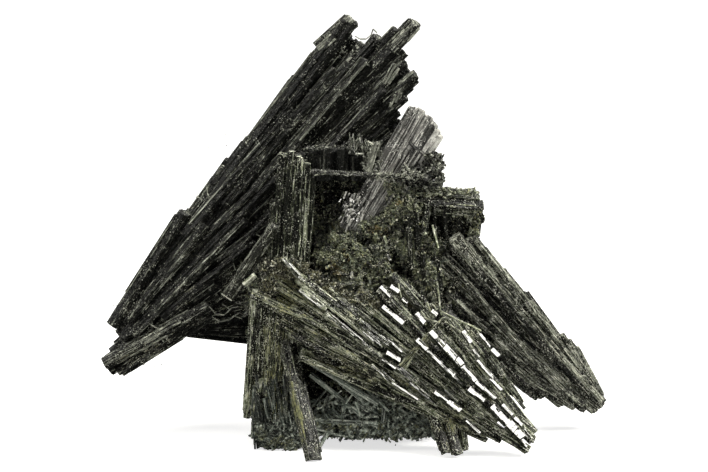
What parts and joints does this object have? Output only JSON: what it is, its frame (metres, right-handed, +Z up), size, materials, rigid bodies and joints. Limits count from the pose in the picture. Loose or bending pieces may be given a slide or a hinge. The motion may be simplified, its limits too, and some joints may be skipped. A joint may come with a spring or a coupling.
{
  "type": "black tourmaline cluster",
  "caption": "Free-standing cluster of black tourmaline: sprays of long ribbed prisms fanned round a rough drusy core, with a small flat base to rest on.",
  "frame": {"origin": "on the floor, under the middle of the whole cluster's box", "axes": "+Z up, +X along the cluster's length towards the right of its front, +Y to the back"},
  "size_m": [0.101, 0.0358, 0.0863],
  "materials": {
    "black_tourmaline": "near-black, lengthwise ribbed, vitreous",
    "grey_black_tourmaline": "black with a grey bloom, lengthwise ribbed, vitreous",
    "dusted_tourmaline": "black, ribbed, dusted with olive and yellow limonite",
    "crusted_tourmaline": "black under a rough olive crust",
    "grey_tourmaline": "light grey satin, finely ribbed",
    "druse": "rough grains and small crystals, olive, grey and rusty brown"
  },
  "bodies": {
    "root": {"left_spray": "black_tourmaline", "front_spray": "dusted_tourmaline", "right_spray": "grey_black_tourmaline", "upright_column": "dusted_tourmaline", "grey_blade": "grey_tourmaline", "back_spray": "black_tourmaline", "arch_bundle": "black_tourmaline", "side_stub": "crusted_tourmaline", "foot_crystal": "dusted_tourmaline", "cross_needle": "grey_black_tourmaline", "leaning_prism": "grey_black_tourmaline", "drusy_core": "druse"}
  },
  "joints": []
}
